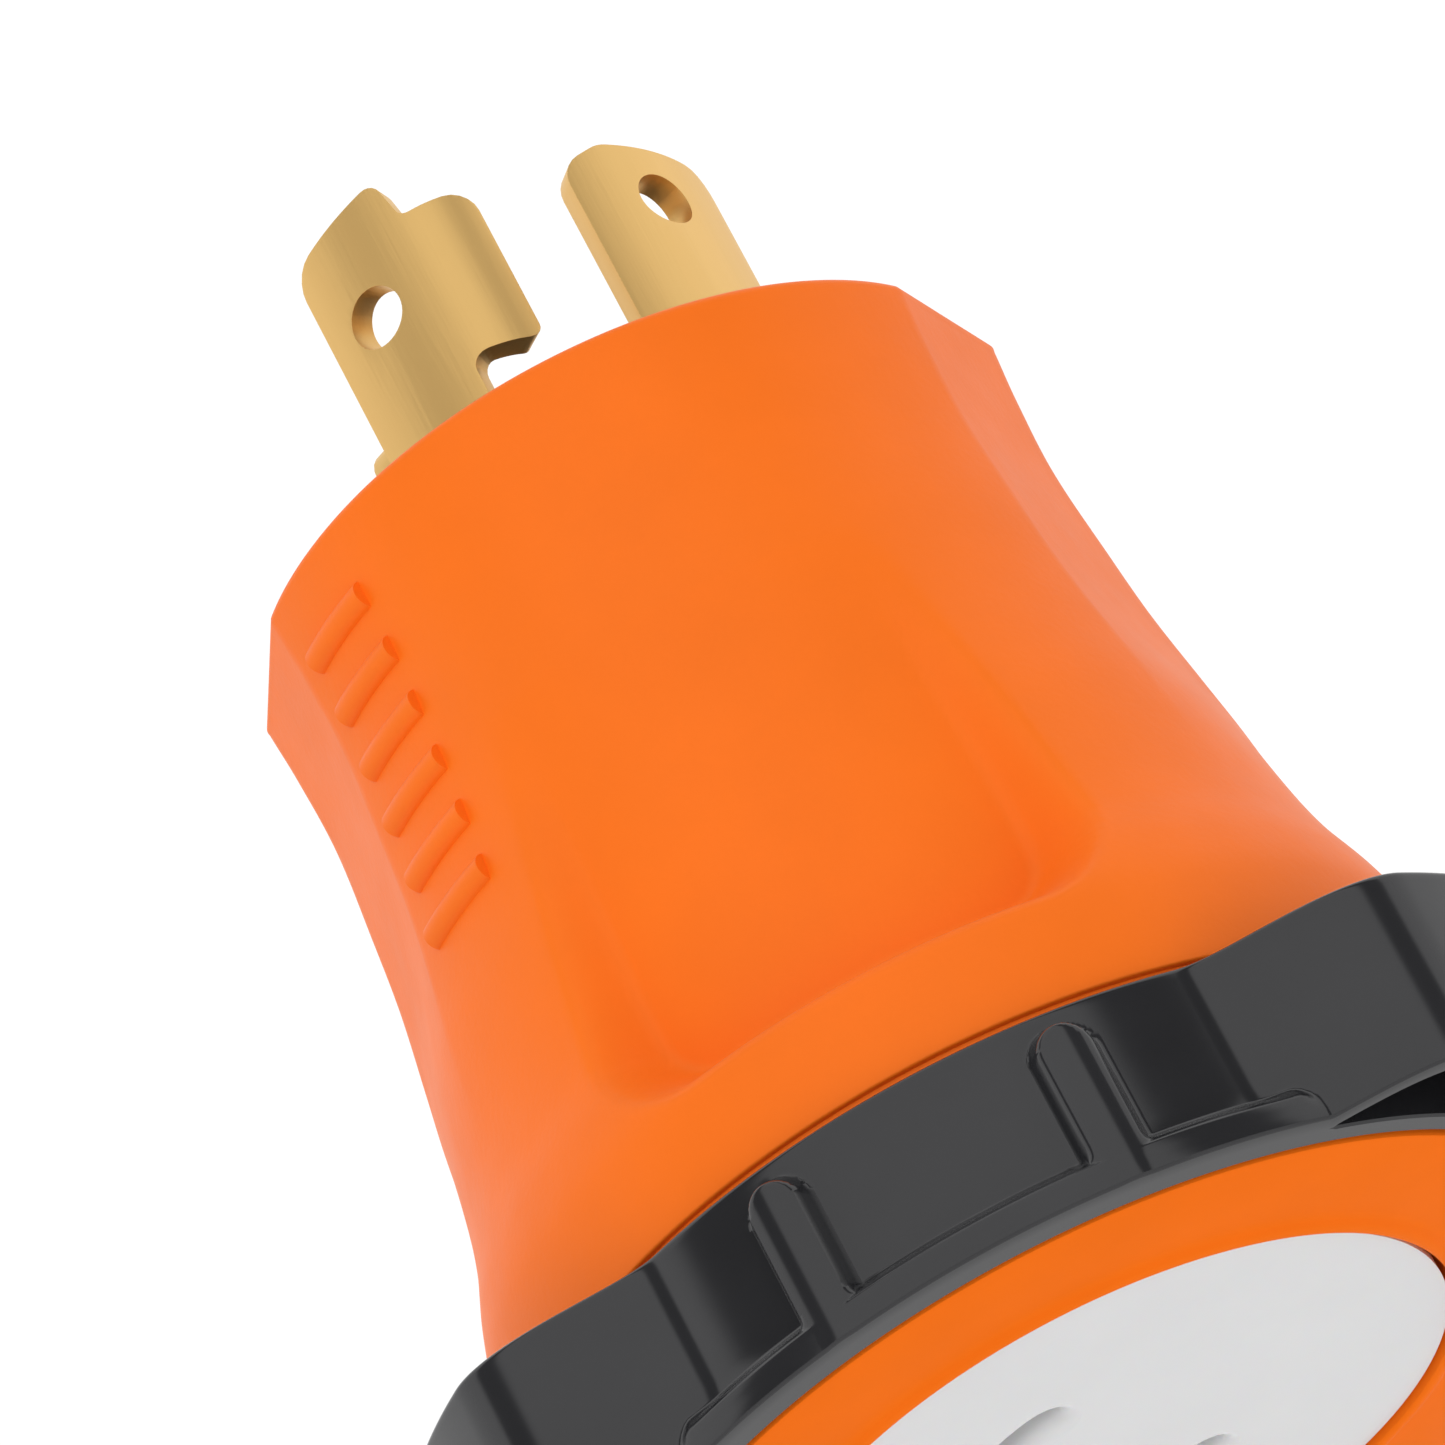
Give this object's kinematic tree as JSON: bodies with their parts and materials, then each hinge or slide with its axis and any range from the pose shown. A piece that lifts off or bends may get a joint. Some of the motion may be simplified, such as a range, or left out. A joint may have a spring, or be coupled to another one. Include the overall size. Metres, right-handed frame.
{
  "type": "surge protector plug",
  "caption": "Locking plug adapter with a moulded hourglass grip, three curved locking blades, a recessed white socket face and a sliding, turning lobed locking ring; surge parts inside.",
  "frame": {"origin": "centre of the white socket face, on the object's axis", "axes": "+Z along the plug's axis, from the socket face to the blades; the side with a scoop and finger ribs faces -Y"},
  "size_m": [0.0759, 0.0754, 0.0928],
  "materials": {
    "orange_plastic": "fine moulded texture",
    "black_gloss": "glossy moulded",
    "white_gloss": "glossy moulded",
    "insulator": "moulded",
    "brass": "satin",
    "steel": "plated",
    "seal_rubber": "soft",
    "nylon": "plain",
    "board": "solder mask",
    "varistor_epoxy": "dipped coating",
    "fuse_ceramic": "glazed",
    "lead_black": "wire insulation",
    "lead_white": "wire insulation",
    "lead_green": "wire insulation"
  },
  "bodies": {
    "plug": {"grip_body": "orange_plastic", "socket_collar": "orange_plastic", "collar_gasket": "seal_rubber", "neck_o_ring": "seal_rubber", "socket_face": "white_gloss", "contact_carrier": "insulator", "carrier_screw_1": "steel", "carrier_screw_2": "steel", "carrier_screw_3": "steel", "neutral_contact": "brass", "line_contact": "brass", "ground_contact": "brass", "contact_screw_1": "steel", "contact_screw_2": "steel", "contact_screw_3": "steel", "line_lead": "lead_black", "neutral_lead": "lead_white", "ground_lead": "lead_green", "surge_board": "board", "varistor_1": "varistor_epoxy", "varistor_2": "varistor_epoxy", "varistor_3": "varistor_epoxy", "thermal_fuse": "fuse_ceramic", "plug_face": "insulator", "blade_retainer": "insulator", "ground_blade": "brass", "line_blade": "brass", "neutral_blade": "brass", "terminal_screw_1": "steel", "terminal_screw_2": "steel", "terminal_screw_3": "steel", "plug_screw_1": "steel", "plug_screw_2": "steel", "plug_screw_3": "steel"},
    "washer": {"slip_washer": "nylon"},
    "ring": {"locking_ring": "black_gloss"}
  },
  "joints": [
    {"name": "ring_slide", "type": "slide", "parent": "plug", "child": "washer", "axis": [0, 0, 1], "range_m": [-0.0062, 0]},
    {"name": "ring_turn", "type": "hinge", "parent": "washer", "child": "ring", "pos_m": [0, 0, 0.0065], "axis": [0, 0, 1], "continuous": true}
  ]
}
